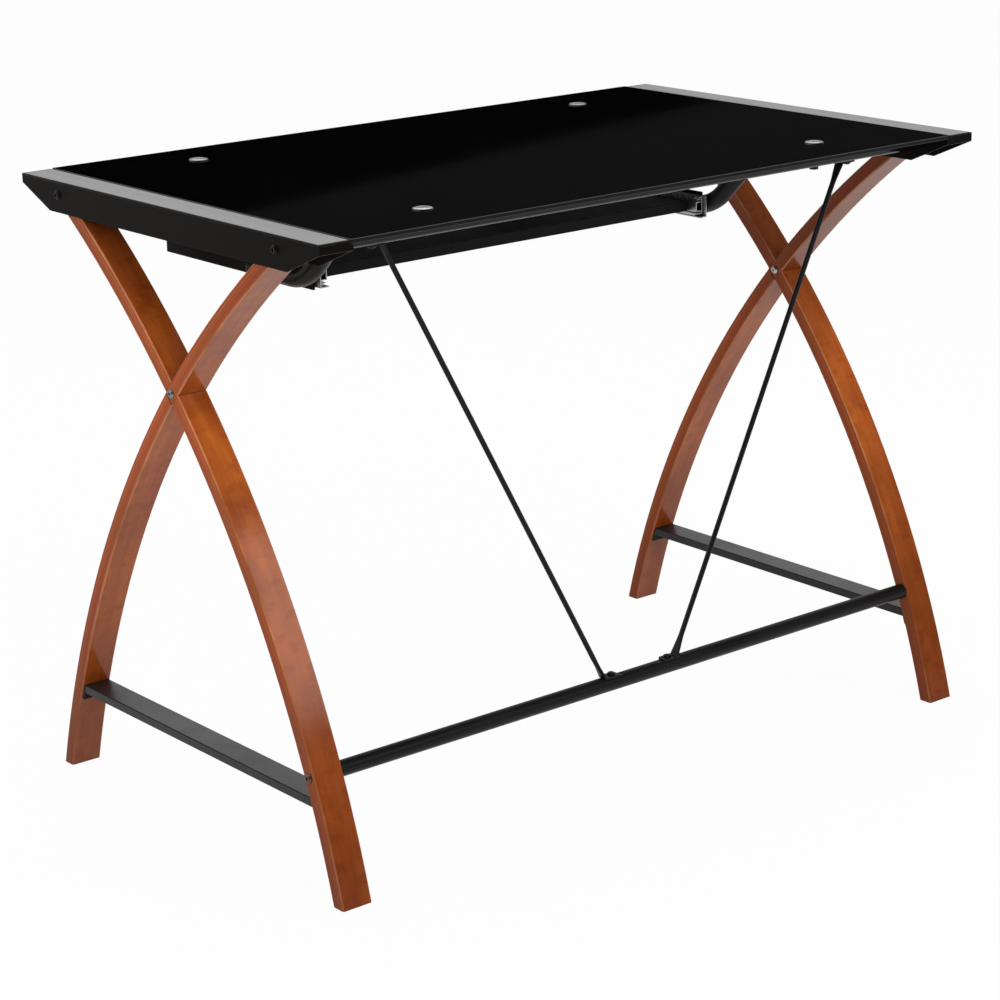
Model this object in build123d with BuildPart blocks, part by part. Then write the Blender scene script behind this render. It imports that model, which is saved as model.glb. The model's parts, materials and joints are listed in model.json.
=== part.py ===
"""Computer desk with a glass top, curved bentwood cross legs and a sliding keyboard tray.

Frame: millimetres, +Z up, the origin on the floor under the middle of the desk.
The user sits on the -Y side, so -Y is the front, +Y the rear and +X the user's right.
The stretcher and its two braces are at the rear, and the tray slides out towards -Y.
"""
from math import asin, cos, radians, sin, sqrt, tan
import os

from build123d import *

os.makedirs("parts", exist_ok=True)

# ---------------------------------------------------------------- overall size
desk_width = 1000.0          # over the side rails, X
desk_depth = 600.0           # Y
desk_height = 750.0          # to the upper face of the glass

# ---------------------------------------------------------------- glass top
glass_thickness = 5.0
glass_side_gap = 0.4         # between the glass and each rail cap
glass_corner_radius = 2.0
glass_edge_chamfer = 0.6
glass_pad_thickness = 1.0    # rubber pad between the glass and a cross tube
glass_pad_diameter = 20.0
glass_screw_inset = 197.0    # from the end of the desk to a glass screw
glass_cap_diameter = 23.0
glass_cap_height = 1.2
glass_cap_edge = 0.6         # sloped rim
glass_hole_clearance = 1.0   # sleeve room round the screw, on the radius

# ---------------------------------------------------------------- side rails
rail_width = 44.0
rail_height = 35.0           # from the open bottom to the underside of the cap
rail_wall = 1.8
rail_end_height = 9.0        # closed vertical end, under the cap
rail_taper_length = 60.0     # the slanted cut at each end, along Y
cap_width = 40.0
cap_thickness = 2.0
cap_below_glass = 1.0        # the glass stands proud of the caps by this
cap_edge_radius = 0.7
ledge_gap = 1.0              # between the rail's ledge and the glass over it

# ---------------------------------------------------------------- bentwood legs
leg_width = 40.0             # X
leg_thickness = 18.5         # across the curve
leg_foot_inset = 13.2        # from the desk's edge to the middle of the strip, at the floor
leg_crossing_share = 0.7133  # height of the crossing, as a share of the desk's height
leg_edge_chamfer = 1.6       # eased long edges
leg_top_gap = 0.2            # under the rail's ledge
leg_arc_sweep = 62.0         # degrees, from level with the arc's centre to past the top
half_lap_window = 76.0       # square round the crossing that holds the whole lap

# ---------------------------------------------------------------- cross tubes
cross_tube_inset = 80.0      # from the desk's edge to the tube's middle
cross_tube_size = 22.0
cross_tube_wall = 1.5
cross_tube_corner = 2.5
tube_plug_length = 18.0

# ---------------------------------------------------------------- stretcher and end bars
stretcher_height = 142.0
stretcher_diameter = 19.0
stretcher_wall = 1.5
brace_seat_depth = 1.2       # pressed flat on top of the stretcher under each brace
brace_seat_length = 38.0
end_bar_top = 117.0          # height of its upper face
end_bar_width = 34.0
end_bar_thickness = 11.0
end_bar_wall = 1.2
end_plate_thickness = 2.5
end_plate_overhang = 9.0     # below the bar, where the screw goes
end_plate_gap = 0.15         # the flat plate stands this far off the curved leg

# ---------------------------------------------------------------- brace rods
brace_rod_diameter = 6.4
brace_shift = 6.5            # the pair of braces sits this far to the user's right
brace_top_inset = 132.5      # upper bolt, from the end of the desk
brace_foot_offset = 45.5     # lower bolt, from the middle of the desk
brace_tab_width = 14.0
brace_tab_thickness = 2.5
brace_tab_edge = 1.1         # rounding of its long edges where the rod begins
brace_tab_corner = 3.5
brace_tab_reach = 9.0        # tab beyond the bolt
brace_tab_root = 12.5        # from the bolt to the bend
brace_fold_radius = 1.6      # metal gathered where each tab bends
brace_fold_lift = 0.1        # the fold clears the face that the tab lies on
brace_flare_length = 32.0    # where the round rod spreads into the flat tab

# ---------------------------------------------------------------- keyboard tray
tray_end_inset = 98.0        # from the desk's right end: the tray is set to the user's right
tray_width = 550.0
tray_depth = 350.0
tray_thickness = 13.0
tray_rear_y = 160.0
tray_drop = 65.0             # from the glass's upper face to the board's and the slides' middle
tray_corner_radius = 12.0
tray_edge_chamfer = 2.0      # along the front

slide_length = 300.0
slide_rear_y = 180.0
slide_height = 26.0
slide_depth = 12.7
slide_metal = 1.2
slide_play = 1.2             # between one web and the next
flange_end_gap = 1.0         # from a flange's free edge to what faces it
race_gap = 2.3               # between one flange and the next
strip_clearance = 0.4        # a bearing strip fills the rest of that gap
strip_width = 5.0
strip_length = 120.0
strip_end_margin = 4.0       # from the middle member's end to a strip
inner_set_back = 5.0         # moving members stop short of the fixed member's rear end

hanger_diameter = 22.0
hanger_wall = 1.5
hanger_drop = 68.0           # from the glass's upper face to the middle of the straight run
hanger_front_y = 75.0
hanger_bend_radius = 70.0
hanger_rise_angle = 45.0
hanger_set_forward = 5.0     # upper end, forward of the rear cross tube's middle
mitre_overrun = 22.0         # tube bent past its mitre, then cut off
carrier_height = 32.0        # flat bar between a slide and its hanger
carrier_thickness = 3.0
carrier_rear_gap = 10.0      # it ends this far ahead of the slide's rear end
end_cap_thickness = 2.0
end_cap_chamfer = 1.0
end_cap_insert = 10.0
strap_width = 15.0           # its rise from the carrier to the front cross tube

# ---------------------------------------------------------------- fasteners
bolt_diameter = 6.0
bolt_clearance = 0.2         # round a bolt, on the radius
button_head_diameter = 11.0
button_head_height = 3.0
button_head_slope = 2.2      # height of the sloped shoulder
button_head_shoulder = 2.0   # its reach across the head
socket_size = 4.0            # across flats of the hex socket
socket_depth = 1.6
bolt_grip = 15.0             # thread inside a plug or an insert
sleeve_diameter = 9.0        # sleeve nut on the inner side of each leg crossing
sleeve_length = 14.0
insert_diameter = 8.0        # threaded inserts in thin tube walls
insert_length = 9.0
nut_flats = 10.0
nut_height = 3.5
washer_diameter = 13.0
washer_thickness = 1.0
wood_screw_diameter = 4.0
wood_screw_length = 14.0
wood_screw_head = 8.0
wood_screw_head_height = 2.5
pan_head_slope = 0.5         # sloped share of a pan head's height
slide_screw_diameter = 3.0
slide_screw_head = 6.0
slide_screw_head_height = 0.7
slide_screw_length = 9.0
slide_screw_margin = 35.0    # from the slide's end to its screws
carrier_screw_y = 60.0       # rear screw of each slide, ahead of the hanger tube

# ---------------------------------------------------------------- heights and places
half_depth = desk_depth / 2
glass_bottom = desk_height - glass_thickness
cap_top = desk_height - cap_below_glass
rail_top = cap_top - cap_thickness
rail_bottom = rail_top - rail_height
ledge_top = glass_bottom - ledge_gap
leg_top = ledge_top - rail_wall - leg_top_gap
tube_top = glass_bottom - glass_pad_thickness
tube_bottom = tube_top - cross_tube_size
tube_middle = tube_top - cross_tube_size / 2
rail_inner_x = desk_width / 2 - rail_width
leg_middle_x = desk_width / 2 - rail_width / 2
leg_inner_x = leg_middle_x - leg_width / 2
glass_screw_x = desk_width / 2 - glass_screw_inset
bolt_hole = bolt_diameter / 2 + bolt_clearance
crossing_height = desk_height * leg_crossing_share
cross_tube_y = half_depth - cross_tube_inset
tube_bore = cross_tube_size - 2 * cross_tube_wall
tube_bore_corner = cross_tube_corner - cross_tube_wall
tray_center_x = desk_width / 2 - tray_end_inset - tray_width / 2
tray_middle_height = desk_height - tray_drop
hanger_height = desk_height - hanger_drop
hanger_offset = tray_width / 2 + slide_depth + carrier_thickness + hanger_diameter / 2
slide_front_y = slide_rear_y - slide_length
SIDES = {"right": 1, "left": -1}
ENDS = {"rear": 1, "front": -1}

# middle of a rear-footed leg's strip: through its foot, the crossing and a cross tube's middle
leg_arc = Edge.make_three_point_arc(
    Vector(0, half_depth - leg_foot_inset, 0),
    Vector(0, 0, crossing_height),
    Vector(0, -cross_tube_y, tube_middle),
)
leg_radius = leg_arc.radius
leg_arc_reach = -leg_arc.arc_center.Y
leg_arc_drop = -leg_arc.arc_center.Z
inner_radius = leg_radius - leg_thickness / 2


def leg_y(height, radius=leg_radius):
    """Distance of a leg's arc from the middle of the desk, positive on its foot's side."""
    return sqrt(radius**2 - (height + leg_arc_drop) ** 2) - leg_arc_reach


stretcher_y = leg_y(stretcher_height)
brace_top_x = desk_width / 2 - brace_top_inset
brace_top_xs = [side * brace_top_x + brace_shift for side in SIDES.values()]
brace_foot_xs = [side * brace_foot_offset + brace_shift for side in SIDES.values()]
hanger_xs = [tray_center_x + side * hanger_offset for side in SIDES.values()]
end_bar_bottom = end_bar_top - end_bar_thickness
screw_height = end_bar_bottom - end_plate_overhang / 2
plate_lean = asin((screw_height + leg_arc_drop) / inner_radius)


def inner_face_plane(foot, x):
    """Back of an end plate, square to the leg at its screw, its normal away from the leg."""
    origin = (x, foot * leg_y(screw_height, inner_radius), screw_height)
    face = Plane(origin, x_dir=(1, 0, 0), z_dir=(0, -foot * cos(plate_lean), -sin(plate_lean)))
    return face.offset(end_plate_gap)


def save(piece, node_name):
    """Label a finished piece and write it under its node's name."""
    piece.part.label = node_name
    export_step(piece.part, f"parts/{node_name}.step")


def button_head():
    """Domed head with a hex socket, its seat at the origin."""
    with BuildPart() as head:
        with BuildSketch():
            Circle(button_head_diameter / 2)
        extrude(amount=button_head_height)
        chamfer(head.faces().sort_by(Axis.Z)[-1].edges(), button_head_slope, button_head_shoulder)
        with BuildSketch(Plane.XY.offset(button_head_height)):
            RegularPolygon(socket_size / 2, 6, major_radius=False)
        extrude(amount=-socket_depth, mode=Mode.SUBTRACT)
    return head.part


def button_bolt(length):
    """Button-head bolt along +Z, its head seat at the origin and its shank below."""
    with BuildPart() as bolt:
        add(button_head())
        with BuildSketch():
            Circle(bolt_diameter / 2)
        extrude(amount=-length)
    return bolt.part


def sleeve_nut():
    """Button-head sleeve nut along +Z, its head seat at the origin and its sleeve below."""
    with BuildPart() as nut:
        add(button_head())
        with BuildSketch():
            Circle(sleeve_diameter / 2)
        extrude(amount=-sleeve_length)
        with BuildSketch(Plane.XY.offset(-sleeve_length)):
            Circle(bolt_diameter / 2)
        extrude(amount=sleeve_length, mode=Mode.SUBTRACT)
    return nut.part


def pan_screw(diameter, length, head_diameter, head_height):
    """Pan-head screw along +Z, its head seat at the origin and its shank below."""
    with BuildPart() as screw:
        with BuildSketch():
            Circle(head_diameter / 2)
        extrude(amount=head_height)
        chamfer(screw.faces().sort_by(Axis.Z)[-1].edges(), head_height * pan_head_slope)
        with BuildSketch():
            Circle(diameter / 2)
        extrude(amount=-length)
    return screw.part


# ================================================================ top
with BuildPart() as glass_top:
    with BuildSketch(Plane.XY.offset(glass_bottom)):
        glass_width = desk_width - 2 * cap_width - 2 * glass_side_gap
        RectangleRounded(glass_width, desk_depth, glass_corner_radius)
        with GridLocations(2 * glass_screw_x, 2 * cross_tube_y, 2, 2):
            Circle(bolt_diameter / 2 + glass_hole_clearance, mode=Mode.SUBTRACT)
    extrude(amount=glass_thickness)
    rims = [face.outer_wire() for face in glass_top.faces().filter_by(Axis.Z)]
    chamfer([edge for rim in rims for edge in rim.edges()], glass_edge_chamfer)
save(glass_top, "glass_top")

rail_end_bottom = rail_top - rail_end_height

for side_name, side in SIDES.items():
    outer_x = side * desk_width / 2
    middle_x = side * leg_middle_x
    cap_middle_x = side * (desk_width / 2 - cap_width / 2)

    with BuildPart() as side_rail:
        with BuildSketch(Plane.YZ.offset(middle_x)):
            with BuildLine():
                Polyline(
                    (-half_depth, rail_top),
                    (half_depth, rail_top),
                    (half_depth, rail_end_bottom),
                    (half_depth - rail_taper_length, rail_bottom),
                    (rail_taper_length - half_depth, rail_bottom),
                    (-half_depth, rail_end_bottom),
                    close=True,
                )
            make_face()
        extrude(amount=rail_width / 2, both=True)
        # rebate along the inner edge, where the glass laps over the rail
        ledge_x = side * (desk_width / 2 - (rail_width + cap_width) / 2)
        with BuildSketch(Plane.XY.offset(ledge_top)):
            with Locations((ledge_x, 0)):
                Rectangle(rail_width - cap_width, desk_depth)
        extrude(amount=rail_top - ledge_top, mode=Mode.SUBTRACT)
        # the channel is open underneath
        cavity_length = desk_depth - 2 * rail_wall
        with BuildSketch(Plane.XY.offset(rail_bottom)):
            with Locations((middle_x, 0)):
                Rectangle(rail_width - 2 * rail_wall, cavity_length)
        extrude(amount=ledge_top - rail_wall - rail_bottom, mode=Mode.SUBTRACT)
        with BuildSketch(Plane.XY.offset(rail_bottom)):
            with Locations((cap_middle_x, 0)):
                Rectangle(cap_width - 2 * rail_wall, cavity_length)
        extrude(amount=rail_height - rail_wall, mode=Mode.SUBTRACT)
        with BuildSketch(Plane.YZ.offset(outer_x)):
            with Locations((cross_tube_y, tube_middle), (-cross_tube_y, tube_middle)):
                Circle(bolt_hole)
        extrude(amount=-side * rail_width, mode=Mode.SUBTRACT)
    save(side_rail, f"{side_name}_side_rail")

    with BuildPart() as rail_cap:
        with BuildSketch(Plane.XY.offset(rail_top)):
            with Locations((cap_middle_x, 0)):
                Rectangle(cap_width, desk_depth)
        extrude(amount=cap_thickness)
        fillet(rail_cap.faces().sort_by(Axis.Z)[-1].edges(), cap_edge_radius)
    save(rail_cap, f"{side_name}_rail_cap")

# ================================================================ cross tubes
for row_name, row in ENDS.items():
    with BuildPart() as cross_tube:
        with BuildSketch(Plane.YZ.offset(-rail_inner_x)):
            with Locations((row * cross_tube_y, tube_middle)):
                RectangleRounded(cross_tube_size, cross_tube_size, cross_tube_corner)
                RectangleRounded(tube_bore, tube_bore, tube_bore_corner, mode=Mode.SUBTRACT)
        extrude(amount=2 * rail_inner_x)
        with BuildSketch(Plane.XY.offset(tube_top)):
            with Locations(
                (glass_screw_x, row * cross_tube_y), (-glass_screw_x, row * cross_tube_y)
            ):
                Circle(bolt_hole)
        extrude(amount=-cross_tube_size, mode=Mode.SUBTRACT)
        # holes in the lower wall for what hangs underneath
        if row > 0:
            under_x = brace_top_xs
        else:
            under_x = hanger_xs
        with BuildSketch(Plane.XY.offset(tube_bottom)):
            with Locations(*[(x, row * cross_tube_y) for x in under_x]):
                Circle(bolt_hole)
        extrude(amount=cross_tube_wall, mode=Mode.SUBTRACT)
    save(cross_tube, f"{row_name}_cross_tube")

with BuildPart() as cross_tube_plugs:
    for side in SIDES.values():
        with BuildSketch(Plane.YZ.offset(side * rail_inner_x)):
            with Locations((cross_tube_y, tube_middle), (-cross_tube_y, tube_middle)):
                RectangleRounded(tube_bore, tube_bore, tube_bore_corner)
                Circle(bolt_diameter / 2, mode=Mode.SUBTRACT)
        extrude(amount=-side * tube_plug_length)
save(cross_tube_plugs, "cross_tube_plugs")

frame_bolt = button_bolt(rail_width + bolt_grip)
with BuildPart() as frame_bolts:
    for side in SIDES.values():
        for row in ENDS.values():
            rail_face = (side * desk_width / 2, row * cross_tube_y, tube_middle)
            with Locations(Plane(rail_face, z_dir=(side, 0, 0))):
                add(frame_bolt)
save(frame_bolts, "frame_bolts")

# ================================================================ glass fixings
glass_screw_places = [
    (x * glass_screw_x, y * cross_tube_y) for x in (1, -1) for y in (1, -1)
]
nut_bottom = tube_bottom - washer_thickness - nut_height

with BuildPart() as glass_cap_screws:
    for x, y in glass_screw_places:
        with BuildSketch(Plane.XY.offset(desk_height)):
            with Locations((x, y)):
                Circle(glass_cap_diameter / 2)
        extrude(amount=glass_cap_height)
    chamfer(glass_cap_screws.faces().group_by(Axis.Z)[-1].edges(), glass_cap_edge)
    with BuildSketch(Plane.XY.offset(nut_bottom)):
        with Locations(*glass_screw_places):
            Circle(bolt_diameter / 2)
    extrude(amount=desk_height - nut_bottom)
save(glass_cap_screws, "glass_cap_screws")

with BuildPart() as glass_pads:
    with BuildSketch(Plane.XY.offset(tube_top)):
        with Locations(*glass_screw_places):
            Circle(glass_pad_diameter / 2)
            Circle(bolt_hole, mode=Mode.SUBTRACT)
    extrude(amount=glass_pad_thickness)
save(glass_pads, "glass_pads")

with BuildPart() as glass_washers:
    with BuildSketch(Plane.XY.offset(tube_bottom)):
        with Locations(*glass_screw_places):
            Circle(washer_diameter / 2)
            Circle(bolt_hole, mode=Mode.SUBTRACT)
    extrude(amount=-washer_thickness)
save(glass_washers, "glass_washers")

with BuildPart() as glass_nuts:
    with BuildSketch(Plane.XY.offset(nut_bottom)):
        with Locations(*glass_screw_places):
            RegularPolygon(nut_flats / 2, 6, major_radius=False)
            Circle(bolt_diameter / 2, mode=Mode.SUBTRACT)
    extrude(amount=nut_height)
save(glass_nuts, "glass_nuts")


# ================================================================ legs
def leg_band(foot):
    """Side view of the whole ring that a leg with its foot on this side is cut from."""
    with Locations((-foot * leg_arc_reach, -leg_arc_drop)):
        Circle(leg_radius + leg_thickness / 2)
        Circle(leg_radius - leg_thickness / 2, mode=Mode.SUBTRACT)


for side_name, side in SIDES.items():
    for foot_name, foot in ENDS.items():
        with BuildPart() as leg:
            # the eased strip bends about its arc's centre and is cut level at both ends
            with BuildSketch(Plane.XY.offset(-leg_arc_drop)) as strip_section:
                with Locations((side * leg_middle_x, foot * (leg_radius - leg_arc_reach))):
                    Rectangle(leg_width, leg_thickness)
                chamfer(strip_section.vertices(), leg_edge_chamfer)
            arc_centre = (0, -foot * leg_arc_reach, -leg_arc_drop)
            revolve(axis=Axis(arc_centre, (foot, 0, 0)), revolution_arc=leg_arc_sweep)
            split(bisect_by=Plane.XY, keep=Keep.TOP)
            split(bisect_by=Plane.XY.offset(leg_top), keep=Keep.BOTTOM)
            # half lap: the rear-footed leg keeps the +X half at the crossing
            with BuildSketch(Plane.YZ.offset(side * leg_middle_x)):
                leg_band(-foot)
                with Locations((0, crossing_height)):
                    Rectangle(half_lap_window, half_lap_window, mode=Mode.INTERSECT)
            extrude(amount=-foot * leg_width / 2, mode=Mode.SUBTRACT)
            bolt_places = [(0, crossing_height), (-foot * cross_tube_y, tube_middle)]
            if foot > 0:
                bolt_places.append((stretcher_y, stretcher_height))
            with BuildSketch(Plane.YZ.offset(side * leg_middle_x)):
                with Locations(*bolt_places):
                    Circle(bolt_hole)
            extrude(amount=leg_width / 2, both=True, mode=Mode.SUBTRACT)
            with BuildSketch(Plane.YZ.offset(side * leg_inner_x)):
                with Locations((0, crossing_height)):
                    Circle(sleeve_diameter / 2 + bolt_clearance)
            extrude(amount=side * sleeve_length, mode=Mode.SUBTRACT)
            with BuildSketch(inner_face_plane(foot, side * leg_middle_x)):
                Circle(wood_screw_diameter / 2)
            extrude(amount=end_plate_thickness - wood_screw_length, mode=Mode.SUBTRACT)
        save(leg, f"{side_name}_{foot_name}_leg")

leg_cross_bolt = button_bolt(leg_width - socket_depth)
with BuildPart() as leg_cross_bolts:
    for side in SIDES.values():
        outer_face = (side * (leg_middle_x + leg_width / 2), 0, crossing_height)
        with Locations(Plane(outer_face, z_dir=(side, 0, 0))):
            add(leg_cross_bolt)
save(leg_cross_bolts, "leg_cross_bolts")

leg_cross_nut = sleeve_nut()
with BuildPart() as leg_cross_nuts:
    for side in SIDES.values():
        inner_face = (side * leg_inner_x, 0, crossing_height)
        with Locations(Plane(inner_face, z_dir=(-side, 0, 0))):
            add(leg_cross_nut)
save(leg_cross_nuts, "leg_cross_nuts")


# ================================================================ end bars
def face_y(height):
    """Leg-side limit of an end bar at this height, along the leaning plate."""
    plate_back = leg_y(screw_height, inner_radius) - end_plate_gap / cos(plate_lean)
    return plate_back - (height - screw_height) * tan(plate_lean)


plate_length = (end_bar_thickness + end_plate_overhang) / cos(plate_lean)

for side_name, side in SIDES.items():
    x = side * leg_middle_x
    with BuildPart() as end_bar:
        with BuildSketch(Plane.YZ.offset(x)):
            with BuildLine():
                Polyline(
                    (-face_y(end_bar_top), end_bar_top),
                    (face_y(end_bar_top), end_bar_top),
                    (face_y(end_bar_bottom), end_bar_bottom),
                    (-face_y(end_bar_bottom), end_bar_bottom),
                    close=True,
                )
            make_face()
        extrude(amount=end_bar_width / 2, both=True)
        fillet(end_bar.edges().filter_by(Axis.Y), end_bar_wall)
        with BuildSketch(Plane.XZ.offset(-half_depth)):
            with Locations((x, (end_bar_top + end_bar_bottom) / 2)):
                Rectangle(end_bar_width - 2 * end_bar_wall, end_bar_thickness - 2 * end_bar_wall)
        extrude(amount=desk_depth, mode=Mode.SUBTRACT)
        for foot in ENDS.values():
            with BuildSketch(inner_face_plane(foot, x)):
                lift = foot * (plate_length / 2 - end_plate_overhang / 2)
                with Locations((0, lift)):
                    Rectangle(end_bar_width, plate_length)
                Circle(wood_screw_diameter / 2 + bolt_clearance, mode=Mode.SUBTRACT)
            extrude(amount=end_plate_thickness)
    save(end_bar, f"{side_name}_end_bar")

end_bar_screw = pan_screw(
    wood_screw_diameter, wood_screw_length, wood_screw_head, wood_screw_head_height
)
with BuildPart() as end_bar_screws:
    for side in SIDES.values():
        for foot in ENDS.values():
            plate = inner_face_plane(foot, side * leg_middle_x)
            with Locations(plate.offset(end_plate_thickness)):
                add(end_bar_screw)
save(end_bar_screws, "end_bar_screws")

# ================================================================ rear stretcher
seat_height = stretcher_height + stretcher_diameter / 2 - brace_seat_depth
seat_middle = brace_foot_offset + (brace_tab_root - brace_tab_reach) / 2
brace_foot_places = [(x, stretcher_y) for x in brace_foot_xs]


def stretcher_rod(radius):
    """Round bar of this radius along the whole stretcher."""
    with BuildSketch(Plane.YZ.offset(-leg_inner_x)) as section:
        with Locations((stretcher_y, stretcher_height)):
            Circle(radius)
    extrude(section.sketch, amount=2 * leg_inner_x)


def flatten_above(height):
    """Take off what stands above this height at the two brace seats."""
    with BuildSketch(Plane.XY.offset(height)) as seats:
        with Locations(
            (brace_shift + seat_middle, stretcher_y), (brace_shift - seat_middle, stretcher_y)
        ):
            Rectangle(brace_seat_length, stretcher_diameter)
    extrude(seats.sketch, amount=stretcher_diameter, mode=Mode.SUBTRACT)


with BuildPart() as stretcher_bore:
    stretcher_rod(stretcher_diameter / 2 - stretcher_wall)
    flatten_above(seat_height - stretcher_wall)

with BuildPart() as rear_stretcher:
    stretcher_rod(stretcher_diameter / 2)
    flatten_above(seat_height)
    add(stretcher_bore.part, mode=Mode.SUBTRACT)
    with BuildSketch(Plane.XY.offset(seat_height)):
        with Locations(*brace_foot_places):
            Circle(bolt_hole)
    extrude(amount=-stretcher_wall, mode=Mode.SUBTRACT)
save(rear_stretcher, "rear_stretcher")

with BuildPart() as stretcher_plugs:
    for side in SIDES.values():
        with BuildSketch(Plane.YZ.offset(side * leg_inner_x)):
            with Locations((stretcher_y, stretcher_height)):
                Circle(stretcher_diameter / 2 - stretcher_wall)
                Circle(bolt_diameter / 2, mode=Mode.SUBTRACT)
        extrude(amount=-side * tube_plug_length)
save(stretcher_plugs, "stretcher_plugs")

stretcher_bolt = button_bolt(leg_width + bolt_grip)
with BuildPart() as stretcher_bolts:
    for side in SIDES.values():
        outer_face = (side * (leg_middle_x + leg_width / 2), stretcher_y, stretcher_height)
        with Locations(Plane(outer_face, z_dir=(side, 0, 0))):
            add(stretcher_bolt)
save(stretcher_bolts, "stretcher_bolts")

# ================================================================ brace rods
tab_half = brace_tab_thickness / 2


def brace_tab(bend, outward, upward):
    """Flat drilled tab from a bend point, and the fold that leans to the rod's side of it."""
    length = brace_tab_root + brace_tab_reach
    with BuildSketch(Plane((bend.X, bend.Y, bend.Z - tab_half))) as tab:
        with Locations((outward * length / 2, 0)):
            Rectangle(length, brace_tab_width)
        free_corners = tab.vertices().group_by(Axis.X)[-1 if outward > 0 else 0]
        fillet(free_corners, brace_tab_corner)
        with Locations((outward * brace_tab_root, 0)):
            Circle(bolt_hole, mode=Mode.SUBTRACT)
    extrude(tab.sketch, amount=brace_tab_thickness)
    fold_z = bend.Z + upward * (brace_fold_radius - tab_half + brace_fold_lift)
    fold_half = brace_tab_width / 2 - brace_tab_edge
    with BuildSketch(Plane((bend.X, bend.Y, fold_z), z_dir=(0, 1, 0))) as fold:
        Circle(brace_fold_radius)
    extrude(fold.sketch, amount=fold_half, both=True)


def rod_end(flat_plane, round_plane):
    """The stretch where the round rod spreads into its flat tab."""
    with BuildSketch(flat_plane) as flat:
        RectangleRounded(brace_tab_width, brace_tab_thickness, brace_tab_edge)
    with BuildSketch(round_plane) as round_section:
        Circle(brace_rod_diameter / 2)
    loft([flat.sketch, round_section.sketch])


for (side_name, side), top_x, foot_x in zip(SIDES.items(), brace_top_xs, brace_foot_xs):
    foot_bend = Vector(foot_x + side * brace_tab_root, stretcher_y, seat_height + tab_half)
    top_bend = Vector(top_x - side * brace_tab_root, cross_tube_y, tube_bottom - tab_half)
    run = top_bend - foot_bend
    along = Plane(foot_bend, x_dir=(0, 1, 0), z_dir=run)
    lower_round = along.offset(brace_flare_length)
    upper_round = along.offset(run.length - brace_flare_length)
    with BuildPart() as brace_rod:
        with BuildSketch(lower_round):
            Circle(brace_rod_diameter / 2)
        extrude(amount=run.length - 2 * brace_flare_length)
        rod_end(along, lower_round)
        rod_end(along.offset(run.length), upper_round)
        brace_tab(foot_bend, -side, 1)
        brace_tab(top_bend, side, -1)
    save(brace_rod, f"{side_name}_brace_rod")

brace_bolt = button_bolt(brace_tab_thickness + cross_tube_wall + insert_length)
tab_underside = tube_bottom - brace_tab_thickness
with BuildPart() as brace_bolts:
    for top_x, foot_x in zip(brace_top_xs, brace_foot_xs):
        with Locations(
            Plane((top_x, cross_tube_y, tab_underside), z_dir=(0, 0, -1)),
            Plane((foot_x, stretcher_y, seat_height + brace_tab_thickness)),
        ):
            add(brace_bolt)
save(brace_bolts, "brace_bolts")


def insert_ring():
    """Section of a threaded insert."""
    Circle(insert_diameter / 2)
    Circle(bolt_diameter / 2, mode=Mode.SUBTRACT)


with BuildPart() as threaded_inserts:
    with BuildSketch(Plane.XY.offset(tube_bottom + cross_tube_wall)):
        with Locations(
            *[(x, cross_tube_y) for x in brace_top_xs],
            *[(x, -cross_tube_y) for x in hanger_xs],
        ):
            insert_ring()
    extrude(amount=insert_length)
    with BuildSketch(Plane.XY.offset(seat_height - stretcher_wall)):
        with Locations(*brace_foot_places):
            insert_ring()
    extrude(amount=-insert_length)
save(threaded_inserts, "threaded_inserts")

# ================================================================ tray hangers and carriers
hanger_top_y = cross_tube_y - hanger_set_forward
rise_slope = tan(radians(hanger_rise_angle))
hanger_turn_y = hanger_top_y - (tube_bottom - hanger_height) / rise_slope
carrier_bottom = tray_middle_height - carrier_height / 2
carrier_top = tray_middle_height + carrier_height / 2
carrier_rear_y = slide_rear_y - carrier_rear_gap
carrier_screw_ys = (carrier_screw_y, slide_front_y + slide_screw_margin)
flange_bottom = tube_bottom - carrier_thickness
flange_near_y = cross_tube_size / 2 - cross_tube_y
flange_far_y = -cross_tube_size / 2 - cross_tube_y

for (side_name, side), x in zip(SIDES.items(), hanger_xs):
    with BuildPart() as tray_hanger:
        with BuildLine(Plane.YZ.offset(x)) as hanger_path:
            FilletPolyline(
                (hanger_front_y, hanger_height),
                (hanger_turn_y, hanger_height),
                (hanger_top_y + mitre_overrun / rise_slope, tube_bottom + mitre_overrun),
                radius=hanger_bend_radius,
            )
        with BuildSketch(Plane.XZ.offset(-hanger_front_y)):
            with Locations((x, hanger_height)):
                Circle(hanger_diameter / 2)
                Circle(hanger_diameter / 2 - hanger_wall, mode=Mode.SUBTRACT)
        sweep(path=hanger_path.line)
        # mitred flat against the underside of the rear cross tube
        split(bisect_by=Plane.XY.offset(tube_bottom), keep=Keep.BOTTOM)
    save(tray_hanger, f"{side_name}_tray_hanger")

    # flat bar that carries a slide, with a strap up to a flange under the front cross tube
    web_offset = hanger_diameter / 2 + carrier_thickness
    with BuildPart() as hanger_strap:
        with BuildSketch(Plane.YZ.offset(x - side * web_offset)):
            with BuildLine():
                Polyline(
                    (slide_front_y, carrier_bottom),
                    (carrier_rear_y, carrier_bottom),
                    (carrier_rear_y, carrier_top),
                    (slide_front_y + strap_width, carrier_top),
                    (flange_near_y, flange_bottom),
                    (flange_far_y, flange_bottom),
                    (flange_far_y, flange_bottom - strap_width),
                    (flange_near_y, flange_bottom - strap_width),
                    (slide_front_y, carrier_top - strap_width),
                    close=True,
                )
            make_face()
            with Locations(*[(y, tray_middle_height) for y in carrier_screw_ys]):
                Circle(slide_screw_diameter / 2, mode=Mode.SUBTRACT)
        extrude(amount=side * carrier_thickness)
        with BuildSketch(Plane.XY.offset(flange_bottom)):
            with Locations((x, -cross_tube_y)):
                Rectangle(2 * web_offset, cross_tube_size)
                Circle(bolt_hole, mode=Mode.SUBTRACT)
        extrude(amount=carrier_thickness)
    save(hanger_strap, f"{side_name}_hanger_strap")

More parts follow.
